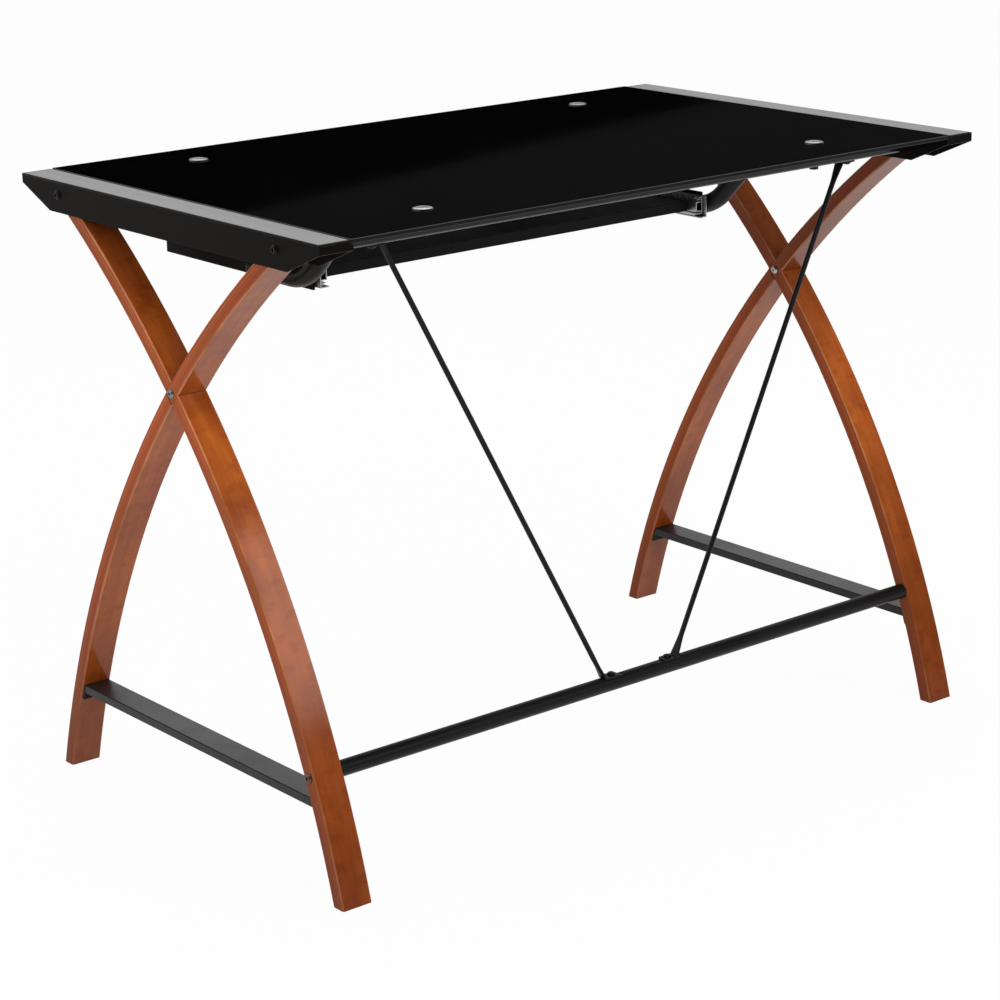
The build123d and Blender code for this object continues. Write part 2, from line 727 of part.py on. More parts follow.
hanger_ends = [(x, hanger_height) for x in hanger_xs]
with BuildPart() as hanger_end_caps:
    with BuildSketch(Plane.XZ.offset(-hanger_front_y)):
        with Locations(*hanger_ends):
            Circle(hanger_diameter / 2)
    extrude(amount=end_cap_thickness)
    chamfer(hanger_end_caps.faces().group_by(Axis.Y)[0].edges(), end_cap_chamfer)
    with BuildSketch(Plane.XZ.offset(-hanger_front_y)):
        with Locations(*hanger_ends):
            Circle(hanger_diameter / 2 - hanger_wall)
    extrude(amount=-end_cap_insert)
save(hanger_end_caps, "hanger_end_caps")

strap_bolt = button_bolt(carrier_thickness + cross_tube_wall + insert_length)
with BuildPart() as strap_bolts:
    for x in hanger_xs:
        with Locations(Plane((x, -cross_tube_y, flange_bottom), z_dir=(0, 0, -1))):
            add(strap_bolt)
save(strap_bolts, "strap_bolts")

# ================================================================ ball-bearing slides
# Depths across a slide run from its carrier's face towards the tray.
middle_web = slide_metal + slide_play
inner_mouth = middle_web + slide_metal + slide_play
inner_web = slide_depth - slide_metal
outer_half = slide_height / 2
middle_half = outer_half - slide_metal - race_gap
inner_half = middle_half - slide_metal - race_gap
moving_rear_y = slide_rear_y - inner_set_back
moving_length = moving_rear_y - slide_front_y
strip_near = (inner_mouth + inner_web - strip_width) / 2
tray_screw_ys = (
    moving_rear_y - slide_screw_margin,
    (moving_rear_y + slide_front_y) / 2,
    slide_front_y + slide_screw_margin,
)


def slide_block(side, near, far, low, high, mode=Mode.ADD):
    """Rectangle of a slide's section, from near to far in depth and from low to high."""
    face = tray_center_x + side * (tray_width / 2 + slide_depth)
    with Locations((face - side * (near + far) / 2, tray_middle_height + (low + high) / 2)):
        Rectangle(far - near, high - low, mode=mode)


def channel(side, near, far, half, web_near):
    """C section of rolled sheet, with its web at the near or the far side."""
    hollow = half - slide_metal
    slide_block(side, near, far, -half, half)
    if web_near:
        slide_block(side, near + slide_metal, far, -hollow, hollow, Mode.SUBTRACT)
    else:
        slide_block(side, near, far - slide_metal, -hollow, hollow, Mode.SUBTRACT)


def web_holes(side, ys):
    """Screw holes across the whole slide."""
    with BuildSketch(Plane.YZ.offset(tray_center_x + side * tray_width / 2)) as holes:
        with Locations(*[(y, tray_middle_height) for y in ys]):
            Circle(slide_screw_diameter / 2)
    extrude(holes.sketch, amount=side * slide_depth, mode=Mode.SUBTRACT)


for side_name, side in SIDES.items():
    with BuildPart() as slide_outer:
        with BuildSketch(Plane.XZ.offset(-slide_rear_y)):
            channel(side, 0, slide_depth - flange_end_gap, outer_half, web_near=True)
        extrude(amount=slide_length)
        web_holes(side, carrier_screw_ys)
    save(slide_outer, f"{side_name}_slide_outer")

    with BuildPart() as slide_middle:
        with BuildSketch(Plane.XZ.offset(-moving_rear_y)):
            channel(side, middle_web, inner_web - flange_end_gap, middle_half, web_near=True)
        extrude(amount=moving_length)
    save(slide_middle, f"{side_name}_slide_middle")

    with BuildPart() as slide_inner:
        with BuildSketch(Plane.XZ.offset(-moving_rear_y)):
            channel(side, inner_mouth, slide_depth, inner_half, web_near=False)
        extrude(amount=moving_length)
        web_holes(side, tray_screw_ys)
    save(slide_inner, f"{side_name}_slide_inner")

    # Each strip stays between its two members over the whole travel: the outer races'
    # strips sit at the rear of the middle member and the inner races' at its front.
    with BuildPart() as bearing_strips:
        strip = race_gap - strip_clearance
        outer_row = middle_half, moving_rear_y - strip_end_margin
        inner_rear_y = slide_front_y + strip_end_margin + strip_length
        inner_row = middle_half - slide_metal - strip, inner_rear_y
        for base, rear_y in (outer_row, inner_row):
            with BuildSketch(Plane.XZ.offset(-rear_y)):
                slide_block(side, strip_near, strip_near + strip_width, base, base + strip)
                slide_block(side, strip_near, strip_near + strip_width, -base - strip, -base)
            extrude(amount=strip_length)
    save(bearing_strips, f"{side_name}_bearing_strips")

carrier_screw = pan_screw(
    slide_screw_diameter, slide_metal + carrier_thickness, slide_screw_head, slide_screw_head_height
)
with BuildPart() as slide_screws:
    for side in SIDES.values():
        web_x = tray_center_x + side * (tray_width / 2 + slide_depth - slide_metal)
        for y in carrier_screw_ys:
            with Locations(Plane((web_x, y, tray_middle_height), z_dir=(-side, 0, 0))):
                add(carrier_screw)
save(slide_screws, "slide_screws")

# ================================================================ keyboard tray
tray_screw = pan_screw(
    slide_screw_diameter, slide_screw_length, slide_screw_head, slide_screw_head_height
)
with BuildPart() as tray_screws:
    for side in SIDES.values():
        web_x = tray_center_x + side * (tray_width / 2 + slide_metal)
        for y in tray_screw_ys:
            with Locations(Plane((web_x, y, tray_middle_height), z_dir=(side, 0, 0))):
                add(tray_screw)
save(tray_screws, "tray_screws")

with BuildPart() as keyboard_tray:
    with BuildSketch(Plane.XY.offset(tray_middle_height - tray_thickness / 2)) as tray_plan:
        with Locations((tray_center_x, tray_rear_y - tray_depth / 2)):
            Rectangle(tray_width, tray_depth)
        fillet(tray_plan.vertices().group_by(Axis.Y)[0], tray_corner_radius)
    extrude(amount=tray_thickness)
    front_face = keyboard_tray.faces().filter_by(Axis.Y).sort_by(Axis.Y)[0]
    chamfer(front_face.edges().filter_by(Axis.X), tray_edge_chamfer)
    for side in SIDES.values():
        with BuildSketch(Plane.YZ.offset(tray_center_x + side * tray_width / 2)):
            with Locations(*[(y, tray_middle_height) for y in tray_screw_ys]):
                Circle(slide_screw_diameter / 2)
        extrude(amount=side * (slide_metal - slide_screw_length), mode=Mode.SUBTRACT)
save(keyboard_tray, "keyboard_tray")
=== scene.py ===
"""Looks of the glass-topped computer desk: finishes, light, floor and camera.

Every piece is a CAD mesh in its own place, so this script only dresses the meshes and
sets up a white studio round them. Lengths are in metres and colours are linear.
"""
import json
import math

import bpy
from mathutils import Matrix, Vector


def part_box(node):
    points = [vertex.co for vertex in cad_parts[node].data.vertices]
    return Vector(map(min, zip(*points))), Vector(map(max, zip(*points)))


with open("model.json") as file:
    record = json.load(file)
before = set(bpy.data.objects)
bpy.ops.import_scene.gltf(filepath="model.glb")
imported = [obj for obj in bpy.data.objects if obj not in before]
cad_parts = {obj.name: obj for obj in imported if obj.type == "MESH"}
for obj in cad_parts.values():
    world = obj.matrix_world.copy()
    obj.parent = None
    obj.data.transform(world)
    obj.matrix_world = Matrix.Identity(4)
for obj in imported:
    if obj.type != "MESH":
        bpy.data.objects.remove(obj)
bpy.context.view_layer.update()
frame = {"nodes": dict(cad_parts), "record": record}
nodes = frame["nodes"]

# ---------------------------------------------------------------- shared sizes
SIDES = ("left", "right")
ENDS = {"rear": 1, "front": -1}  # each end, and the sign of Y at its feet

ARC_RADIUS = 1.3145          # middle of a leg's laminated strip
ARC_REACH = 0.9838           # arc centre, from the middle of the desk along Y
ARC_DROP = 0.3368            # arc centre, below the floor
HALF_LEG = 0.00925           # half of the strip's thickness
PLY = 0.0019 / 1.3           # thickness of one ply of a leg

STRIP_SIDE = max(abs(c.x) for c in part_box("left_rail_cap"))
STRIP_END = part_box("left_rail_cap")[1].y
CAP_DOME = 7.6               # lean of a cap's face, per metre from its middle
SCREW_RADIUS = 0.0115        # of a glass cap screw
SCREW_X, SCREW_Y = (far - SCREW_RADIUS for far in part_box("glass_cap_screws")[1].xy)


# ================================================================ node graphs
class Graph:
    """A material's node tree, with short calls to add and join its nodes."""

    def __init__(self, name):
        self.material = bpy.data.materials.new(name)
        self.material.use_nodes = True
        self.tree = self.material.node_tree
        self.shader = self.tree.nodes["Principled BSDF"]

    def add(self, kind, **settings):
        made = self.tree.nodes.new(kind)
        for key, value in settings.items():
            setattr(made, key, value)
        return made

    def join(self, source, target):
        self.tree.links.new(source, target)

    def feed(self, target, value):
        """Link a socket to the target, or set a plain value on it."""
        if isinstance(value, bpy.types.NodeSocket):
            self.join(value, target)
        else:
            target.default_value = value

    def feed_all(self, node, *values):
        """Feed a node's first inputs, in their order."""
        for socket, value in zip(node.inputs, values):
            self.feed(socket, value)
        return node

    def math(self, operation, first, second=0.0, third=0.0):
        made = self.add("ShaderNodeMath", operation=operation)
        return self.feed_all(made, first, second, third).outputs[0]

    def scaled(self, value, by):
        return self.math("MULTIPLY", value, by)

    def length(self, first, second):
        """Length of a flat vector from its two parts."""
        squares = (self.math("POWER", part, 2.0) for part in (first, second))
        return self.math("SQRT", self.math("ADD", *squares))

    def place(self):
        """Place on the object, in the desk's own frame."""
        return self.add("ShaderNodeTexCoord").outputs["Object"]

    def normal(self):
        return self.add("ShaderNodeNewGeometry").outputs["Normal"]

    def split(self, vector):
        return self.feed_all(self.add("ShaderNodeSeparateXYZ"), vector).outputs

    def combine(self, x, y, z):
        return self.feed_all(self.add("ShaderNodeCombineXYZ"), x, y, z).outputs[0]

    def noise(self, vector, scale, detail=3.0, roughness=0.5):
        made = self.add("ShaderNodeTexNoise")
        self.feed(made.inputs["Vector"], vector)
        made.inputs["Scale"].default_value = scale
        made.inputs["Detail"].default_value = detail
        made.inputs["Roughness"].default_value = roughness
        return made.outputs["Fac"]

    def grain(self, parts, scales, detail=3.0, roughness=0.5):
        """Noise with its own scale, in grains per metre, along each part of the place."""
        stretched = (self.scaled(part, by) for part, by in zip(parts, scales))
        return self.noise(self.combine(*stretched), 1.0, detail, roughness)

    def spread(self, value, low, high, to_low=0.0, to_high=1.0):
        """Map a range of values to another, held at its ends."""
        made = self.add("ShaderNodeMapRange")
        self.feed_all(made, value, low, high, to_low, to_high)
        return made.outputs["Result"]

    def mix(self, share, first, second):
        """Mix two colours."""
        made = self.add("ShaderNodeMix", data_type="RGBA")
        self.feed(made.inputs["Factor"], share)
        self.feed(made.inputs["A"], first)
        self.feed(made.inputs["B"], second)
        return made.outputs["Result"]

    def facing(self, axis):
        """How far the surface faces along this axis of the desk, 0 to 1, either way."""
        return self.math("ABSOLUTE", self.split(self.normal())["XYZ".index(axis)])

    def rounded(self, radius):
        """The normal, as if the piece's edges had this radius."""
        bevel = self.add("ShaderNodeBevel", samples=6)
        bevel.inputs["Radius"].default_value = radius
        return bevel.outputs[0]

    def edge(self, radius):
        """1 along the piece's edges, fading to 0 within this radius."""
        dot = self.add("ShaderNodeVectorMath", operation="DOT_PRODUCT")
        self.feed_all(dot, self.rounded(radius), self.normal())
        return self.spread(dot.outputs["Value"], 0.98, 0.80)

    def bump(self, height, distance, strength=1.0, normal=None):
        """Bump the shader's normal, or the normal that is given."""
        made = self.add("ShaderNodeBump")
        made.inputs["Strength"].default_value = strength
        made.inputs["Distance"].default_value = distance
        self.feed(made.inputs["Height"], height)
        if normal is not None:
            self.join(normal, made.inputs["Normal"])
        self.join(made.outputs[0], self.shader.inputs["Normal"])

    def set(self, **values):
        """Set or link the shader's sockets, written with underscores for spaces."""
        for name, value in values.items():
            self.feed(self.shader.inputs[name.replace("_", " ")], value)


def grey(level):
    """A neutral colour."""
    return (level, level, level, 1.0)


# radius that the light sees along the edges of each material
WOOD_EDGE = PAINT_EDGE = 0.0012
LAMINATE_EDGE = 0.0014
PLASTIC_EDGE = 0.0008
METAL_EDGE = 0.0006

# ================================================================ wood
# grains per metre along the arc, across the leg and through it, then detail and roughness
PORES = ((22.0, 900.0, 900.0), 4.0, 0.6)
FLAMES = ((5.0, 60.0, 60.0), 3.0, 0.55)
MOTTLES = ((85.0, 50.0, 50.0), 2.0, 0.55)
STREAKS = ((30.0, 40.0, 1500.0), 3.0, 0.6)

FLAME_DARK = (0.425, 0.086, 0.0127, 1.0)
FLAME_LIGHT = (0.605, 0.154, 0.0243, 1.0)
PORE = (0.140, 0.022, 0.004, 1.0)
BLOTCH = (0.205, 0.038, 0.006, 1.0)
MOTTLE = (0.190, 0.033, 0.005, 1.0)
PLY_DARK = (0.355, 0.065, 0.015, 1.0)
PLY_LIGHT = (0.515, 0.120, 0.030, 1.0)
PLY_BROWN = (0.270, 0.080, 0.017, 1.0)
PLY_STREAK = (0.150, 0.024, 0.007, 1.0)
GLUE = (0.100, 0.012, 0.004, 1.0)
# painted shade for the legs' feet, undersides and tops, on the cut edges and on the faces
PAINTED_SHADE = (0.100, 0.020, 0.006, 1.0)
PAINTED_SHADE_ON_FACE = (0.060, 0.005, 0.0008, 1.0)
SEAM = (0.030, 0.008, 0.003, 1.0)
# stain rubbed thin along the eased edges, and a painted highlight there
RUBBED_AND_HIGHLIGHT = (0.800, 0.380, 0.190, 1.0)

# where the painted shade at a leg's top starts, where it is full, and how much it covers
TOP_SHADE = {"left": (0.42, 0.56, 0.55), "right": (0.60, 0.70, 0.30)}
FOOT_SHADE = (0.48, 0.02, 0.64)       # the same for the painted shade towards the foot
FIGURE_STEP = {"side": 3.7, "end": 1.9}  # along the grain, so that no two legs match


def cherry_lacquer(name, foot, seed, top_shade):
    """Cherry-stained bent laminated wood under gloss lacquer, its grain along the arc."""
    g = Graph(name)
    x, y, z = g.split(g.place())
    sideways = g.facing("X")
    # place in the strip: along the arc, and in depth from its middle
    out = g.math("MULTIPLY_ADD", y, float(foot), ARC_REACH)
    up = g.math("ADD", z, ARC_DROP)
    depth = g.math("SUBTRACT", g.length(out, up), ARC_RADIUS)
    along = g.scaled(g.math("ARCTAN2", up, out), ARC_RADIUS)
    along = g.math("ADD", along, seed)
    strip = (along, x, depth)

    # veneer figure: long pores, soft flames, blotchy stain and a mottled shimmer
    pores = g.grain(strip, *PORES)
    flames = g.grain(strip, *FLAMES)
    blotches = g.noise(g.combine(*strip), 9.0, 3.0, 0.6)
    mottle = g.grain(strip, *MOTTLES)
    colour = g.mix(g.spread(flames, 0.30, 0.72), FLAME_DARK, FLAME_LIGHT)
    colour = g.mix(g.spread(pores, 0.52, 0.78, 0.0, 0.45), colour, PORE)
    colour = g.mix(g.spread(blotches, 0.40, 0.70, 0.0, 0.60), colour, BLOTCH)
    colour = g.mix(g.spread(mottle, 0.52, 0.70, 0.0, 0.33), colour, MOTTLE)

    # cut edges show the plies as fine lines, alternately end grain and long grain
    layer = g.math("DIVIDE", depth, PLY)
    wander = g.noise(g.combine(g.scaled(along, 4.0), layer, seed), 1.0, 2.0)
    layer = g.math("ADD", layer, g.scaled(wander, 0.5))
    from_middle = g.math("ABSOLUTE", g.math("SUBTRACT", g.math("FRACT", layer), 0.5))
    glue = g.spread(from_middle, 0.34, 0.48)
    tone = g.add("ShaderNodeTexWhiteNoise", noise_dimensions="1D")
    g.join(g.math("FLOOR", layer), tone.inputs["W"])
    streaks = g.grain(strip, *STREAKS)
    fading = g.spread(g.noise(g.combine(along, layer, x), 14.0, 2.0), 0.40, 0.62, 0.15, 0.8)
    plies = g.mix(tone.outputs["Value"], PLY_DARK, PLY_LIGHT)
    plies = g.mix(g.math("MULTIPLY", glue, fading), plies, GLUE)
    plies = g.mix(g.spread(streaks, 0.50, 0.80, 0.0, 0.5), plies, PLY_STREAK)
    plies = g.mix(g.spread(blotches, 0.44, 0.64, 0.0, 0.50), plies, PLY_BROWN)
    cut = g.spread(sideways, 0.80, 0.95)
    colour = g.mix(cut, colour, plies)

    # painted shade: darker towards the feet, on the undersides and at the tops, where less
    # light reaches
    facing_down = g.spread(g.split(g.normal())["Z"], 0.0, -0.14)
    start, full, share = FOOT_SHADE
    foot_shade = g.math("MULTIPLY", g.spread(z, start, full, 0.0, share),
                        g.spread(facing_down, 0.0, 1.0, 1.0, 0.55))
    colour = g.mix(foot_shade, colour, g.mix(cut, PAINTED_SHADE_ON_FACE, PAINTED_SHADE))
    colour = g.mix(g.scaled(facing_down, 0.18), colour, PAINTED_SHADE)
    start, full, share = top_shade
    colour = g.mix(g.spread(z, start, full, 0.0, share), colour, PAINTED_SHADE)

    # dark seam where the other leg of the pair is let in
    behind = g.math("MULTIPLY_ADD", y, -float(foot), ARC_REACH)
    other_depth = g.math("SUBTRACT", g.length(behind, up), ARC_RADIUS)
    past_face = g.math("SUBTRACT", g.math("ABSOLUTE", other_depth), HALF_LEG)
    seam = g.spread(g.math("ABSOLUTE", past_face), 0.0009, 0.0003, 0.0, 0.45)
    colour = g.mix(seam, colour, SEAM)

    # lighter along the eased edges: stain rubbed thin there, and a painted highlight where the
    # edges catch the light, less towards the feet
    eased = g.math("MULTIPLY", g.spread(sideways, 0.35, 0.55), g.spread(sideways, 0.90, 0.80))
    rubbed_and_highlight = g.math("MULTIPLY", eased, g.spread(z, 0.12, 0.42, 0.30, 1.0))
    rubbed_and_highlight = g.math("MULTIPLY", rubbed_and_highlight, g.spread(blotches, 0.35, 0.65, 0.52, 0.10))
    colour = g.mix(rubbed_and_highlight, colour, RUBBED_AND_HIGHLIGHT)

    # the lacquer is thinner on the cut edges
    g.set(Base_Color=colour, Roughness=g.spread(pores, 0.3, 0.8, 0.36, 0.50),
          Specular_IOR_Level=0.03, Coat_Weight=g.spread(cut, 0.0, 1.0, 0.54, 0.16),
          Coat_Roughness=0.16, Coat_IOR=1.5)
    relief = g.math("ADD", pores, g.math("MULTIPLY", glue, sideways))
    g.bump(relief, 0.00006, 0.6, g.rounded(WOOD_EDGE))
    return g.material


# ================================================================ paint, glass, metal, plastic
SPRAY_GRAIN = 900.0          # of orange peel, per metre
SPRAY_HEIGHT = 0.00010
WEAR_WIDTH = 0.0010          # of the wear along painted edges
WORN_METAL = grey(0.22)

# black rims at a grey strip's ends and outer side: where each starts and is full, inwards
STRIP_END_RIM = (0.0042, 0.0030)
STRIP_SIDE_RIM = (0.0022, 0.0012)
STRIP_DARK = (0.205, 0.205, 0.207, 1.0)
STRIP_LIGHT = grey(0.262)
STRIP_PATCH = (0.190, 0.190, 0.192, 1.0)
STRIP_BLACK = (0.0060, 0.0056, 0.0054, 1.0)

GLASS_FACE = grey(0.0017)
# painted highlight along the glass's arrises
GLASS_ARRIS_HIGHLIGHT = grey(0.068)
GLASS_PAINT = grey(0.075)
GROUND_GRAIN = 700.0         # of the glass's ground edge, per metre
GROUND_DARK = (0.0050, 0.0056, 0.0055, 1.0)
GROUND_LIGHT = (0.0125, 0.0135, 0.0132, 1.0)

BLOOM = 500.0                # crystals on plated metal, per metre
DRAWN = (2500.0, 40.0, 2500.0)  # lines on drawn metal, per metre
RINGS = 2600.0               # turned into a cap's face, per metre
# the last of these is painted shade on the caps' edge and wall
CAP_LIGHT, CAP_DARK, CAP_WALL_SHADE = grey(0.90), grey(0.70), grey(0.10)

PRESSED = (60.0, 1400.0, 1400.0)  # grain of the laminate, per metre
LAMINATE_DARK, LAMINATE_LIGHT = grey(0.045), grey(0.065)
LAMINATE_DUST = grey(0.090)
LAMINATE_RIM = grey(0.0045)


def painted_metal(name, level, shine, tint=(1.0, 1.0, 1.0), rough=0.40, peel=0.25, worn=0.30,
                  dusty=0.003):
    """Sprayed or powder-coated metal: orange peel, uneven sheen and slightly worn edges.

    The shine is one value, or one each for level faces, rounded corners and upright faces.
    """
    g = Graph(name)
    place = g.place()
    base = tuple(level * share for share in tint) + (1.0,)
    dust = tuple((level * 1.35 + dusty) * share for share in tint) + (1.0,)
    patches = g.noise(place, 14.0, 4.0, 0.6)
    colour = g.mix(g.spread(patches, 0.40, 0.75, 0.0, 0.6), base, dust)
    rub = g.math("MULTIPLY", g.edge(WEAR_WIDTH), g.spread(g.noise(place, 90.0), 0.42, 0.70))
    colour = g.mix(g.scaled(rub, worn), colour, WORN_METAL)
    if isinstance(shine, tuple):
        level_shine, corner_shine, upright_shine = shine
        upward = g.facing("Z")
        shine = g.math("ADD", g.spread(upward, 0.93, 0.99, corner_shine, level_shine),
                       g.spread(upward, 0.30, 0.05, 0.0, upright_shine - corner_shine))
    g.set(Base_Color=colour, Specular_IOR_Level=shine,
          Roughness=g.spread(patches, 0.3, 0.7, rough - 0.05, rough + 0.07))
    g.bump(g.noise(place, SPRAY_GRAIN, 2.0), SPRAY_HEIGHT, peel, g.rounded(PAINT_EDGE))
    return g.material


def rail_strip():
    """Graphite paint on the rails' strips, drawn along them, black at their outer rims."""
    g = Graph("rail_grey")
    place = g.place()
    x, y, z = g.split(place)
    drawn = g.grain((x, y, z), (420.0, 3.0, 1.0))
    patches = g.noise(place, 9.0, 4.0, 0.6)
    colour = g.mix(g.spread(drawn, 0.30, 0.70), STRIP_DARK, STRIP_LIGHT)
    colour = g.mix(g.spread(patches, 0.40, 0.75, 0.0, 0.35), colour, STRIP_PATCH)

    def rim_along(part, far, rim):
        start, full = (far - inwards for inwards in rim)
        return g.spread(g.math("ABSOLUTE", part), start, full)

    rim = g.math("MAXIMUM", rim_along(y, STRIP_END, STRIP_END_RIM),
                 rim_along(x, STRIP_SIDE, STRIP_SIDE_RIM))
    colour = g.mix(rim, colour, STRIP_BLACK)
    g.set(Base_Color=colour, Roughness=g.spread(patches, 0.3, 0.7, 0.32, 0.44),
          Specular_IOR_Level=g.spread(rim, 0.0, 1.0, 0.25, 0.05))
    g.bump(g.noise(place, SPRAY_GRAIN, 2.0), SPRAY_HEIGHT, 0.2, g.rounded(PAINT_EDGE))
    return g.material


def black_glass():
    """Tempered black glass: a mirror-smooth face, ground edges and a painted underside."""
    g = Graph("black_glass")
    place = g.place()
    upward = g.facing("Z")
    rim = g.spread(upward, 0.97, 0.80)
    # painted highlight: a lighter line along the arrises of the edge
    arris_highlight = g.math("MULTIPLY", g.spread(upward, 0.30, 0.60), rim)
    under = g.spread(g.split(g.normal())["Z"], -0.3, -0.8)
    edge = g.mix(g.noise(place, GROUND_GRAIN), GROUND_DARK, GROUND_LIGHT)
    edge = g.mix(arris_highlight, edge, GLASS_ARRIS_HIGHLIGHT)
    colour = g.mix(under, g.mix(rim, GLASS_FACE, edge), GLASS_PAINT)
    smears = g.noise(place, 6.0, 5.0, 0.62)
    rough = g.math("ADD", g.spread(smears, 0.45, 0.75, 0.025, 0.060), g.scaled(rim, 0.22))
    rough = g.math("ADD", rough, g.scaled(under, 0.50))
    g.set(Base_Color=colour, Roughness=rough,
          Specular_IOR_Level=g.spread(rim, 0.0, 1.0, 0.25, 0.06))
    return g.material


def metal(name, colour, rough, brushed=0.0):
    """Bare or plated metal with a fine crystalline bloom, and lines where it was drawn."""
    g = Graph(name)
    place = g.place()
    bloom = g.noise(place, BLOOM)
    light = tuple(colour) + (1.0,)
    dark = tuple(part * 0.78 for part in colour) + (1.0,)
    g.set(Base_Color=g.mix(g.spread(bloom, 0.35, 0.70), light, dark), Metallic=1.0,
          Roughness=g.spread(bloom, 0.3, 0.7, rough - 0.05, rough + 0.08))
    height = g.scaled(bloom, 0.5)
    if brushed:
        lines = g.grain(g.split(place), DRAWN, 2.0)
        height = g.math("ADD", g.scaled(lines, brushed), height)
    g.bump(height, 0.00003, 0.5, g.rounded(METAL_EDGE))
    return g.material


def turned_caps():
    """Satin nickel, turned on a lathe, so each cap throws the light in a bow."""
    g = Graph("polished_caps")
    place = g.place()
    x, y, _ = g.split(place)

    def from_screw(part, screw):
        away = g.math("SUBTRACT", g.math("ABSOLUTE", part), screw)
        return g.math("MULTIPLY", away, g.math("SIGN", part))

    # place on the cap, from its own middle
    east, north = from_screw(x, SCREW_X), from_screw(y, SCREW_Y)
    radius = g.scaled(g.length(east, north), RINGS)
    rings = g.noise(g.combine(radius, 0.0, 0.0), 1.0, 2.0)
    bloom = g.noise(place, BLOOM)
    # the face is slightly domed
    dome = g.add("ShaderNodeVectorMath", operation="MULTIPLY_ADD")
    g.feed_all(dome, g.combine(east, north, 0.0), (CAP_DOME, CAP_DOME, 0.0), g.normal())
    face = g.mix(g.spread(bloom, 0.35, 0.70), CAP_LIGHT, CAP_DARK)
    # painted shade: the edge and the wall are darkened
    colour = g.mix(g.spread(g.facing("Z"), 0.80, 0.95), CAP_WALL_SHADE, face)
    g.set(Base_Color=colour, Metallic=1.0, Roughness=g.spread(rings, 0.3, 0.7, 0.12, 0.20),
          Anisotropic=0.6, Tangent=g.combine(g.scaled(north, -1.0), east, 0.0))
    g.bump(rings, 0.00003, 0.4, dome.outputs[0])
    return g.material


def plastic(name, level, rough, grain=1600.0):
    """Moulded plastic or rubber with a fine leathery texture."""
    g = Graph(name)
    place = g.place()
    skin = g.noise(place, grain, 3.0, 0.6)
    tone = g.noise(place, 60.0, 2.0)
    g.set(Base_Color=g.mix(tone, grey(level), grey(level * 1.5 + 0.002)),
          Roughness=g.spread(skin, 0.3, 0.7, rough - 0.06, rough + 0.06))
    g.bump(skin, 0.00012, 0.5, g.rounded(PLASTIC_EDGE))
    return g.material


def laminate():
    """Black laminate on board, with a fine pressed grain across the desk."""
    g = Graph("black_laminate")
    place = g.place()
    pressed = g.grain(g.split(place), PRESSED, 3.0, 0.6)
    dust = g.noise(place, 25.0, 4.0, 0.65)
    face = g.mix(g.spread(pressed, 0.35, 0.75), LAMINATE_DARK, LAMINATE_LIGHT)
    face = g.mix(g.spread(dust, 0.45, 0.80, 0.0, 0.35), face, LAMINATE_DUST)
    # the wrapped edges are darker and smoother than the faces; the faces' lighter colour is
    # partly painted sheen
    upward = g.facing("Z")
    g.set(Base_Color=g.mix(g.spread(upward, 0.6, 0.9), LAMINATE_RIM, face),
          Roughness=g.spread(pressed, 0.3, 0.7, 0.46, 0.58),
          Specular_IOR_Level=g.spread(upward, 0.6, 0.9, 0.12, 0.5))
    g.bump(pressed, 0.00008, 0.5, g.rounded(LAMINATE_EDGE))
    return g.material


# ================================================================ a finish for each slot
RAIL_BLACK = painted_metal("rail_black", 0.0030, 0.035, tint=(1.32, 1.0, 0.84), rough=0.42,
                           worn=0.25, dusty=0.0015)
POWDER = painted_metal("black_powder_coat", 0.0072, 0.25, rough=0.26, peel=0.12)
SOFT_POWDER = painted_metal("soft_powder_coat", 0.0075, 0.13, tint=(1.12, 1.0, 0.96),
                            rough=0.38, peel=0.10)
CROSS_TUBES = painted_metal("tube_powder_coat", 0.0072, (0.30, 1.0, 0.30), rough=0.24,
                            peel=0.12, worn=0.60)
SATIN_BARS = painted_metal("satin_powder_coat", 0.0105, (0.45, 0.04, 0.20), rough=0.30,
                           peel=0.20)
FINISHES = {
    "black_glass": black_glass(),
    "rail_black": RAIL_BLACK,
    "rail_grey": rail_strip(),
    "black_powder_coat": POWDER,
    "black_laminate": laminate(),
    "polished_caps": turned_caps(),
    "zinc_plate": metal("zinc_plate", (0.46, 0.465, 0.46), 0.32, brushed=0.6),
    "bearing_steel": metal("bearing_steel", (0.50, 0.50, 0.51), 0.25),
    "black_fasteners": metal("black_fasteners", (0.017, 0.017, 0.018), 0.38),
    "antique_fasteners": metal("antique_fasteners", (0.14, 0.085, 0.060), 0.34),
    "black_nylon": plastic("black_nylon", 0.012, 0.46),
    "rubber": plastic("rubber", 0.010, 0.70, grain=900.0),
}
# nodes whose names end so have a finish of their own
SPECIAL = {
    "_end_bar": SATIN_BARS,
    "_cross_tube": CROSS_TUBES,
    "_hanger_strap": RAIL_BLACK,
    "_tray_hanger": SOFT_POWDER,
    "_brace_rod": SOFT_POWDER,
    "rear_stretcher": SOFT_POWDER,
    "leg_cross_bolts": metal("bolt_nickel", (0.25, 0.28, 0.27), 0.30),
}


def leg_woods():
    """Wood for each leg: its figure unlike the others', and the painted shade at its top set
    by its side.
    """
    woods = {}
    for number, side in enumerate(SIDES):
        for end, foot in ENDS.items():
            seed = FIGURE_STEP["side"] * number + FIGURE_STEP["end"] * foot
            woods[f"{side}_{end}_leg"] = cherry_lacquer(
                f"cherry_{side}_{end}", foot, seed, TOP_SHADE[side])
    return woods


def dress():
    """Give every CAD node its own finish, or else the finish of its slot."""
    slots = {part["node"]: part["material_slot"] for part in frame["record"]["subparts"]}
    woods = leg_woods()
    for node_name, piece in nodes.items():
        finish = woods.get(node_name) or FINISHES[slots[node_name]]
        for ending, special in SPECIAL.items():
            if node_name.endswith(ending):
                finish = special
        piece.data.materials.clear()
        piece.data.materials.append(finish)


dress()

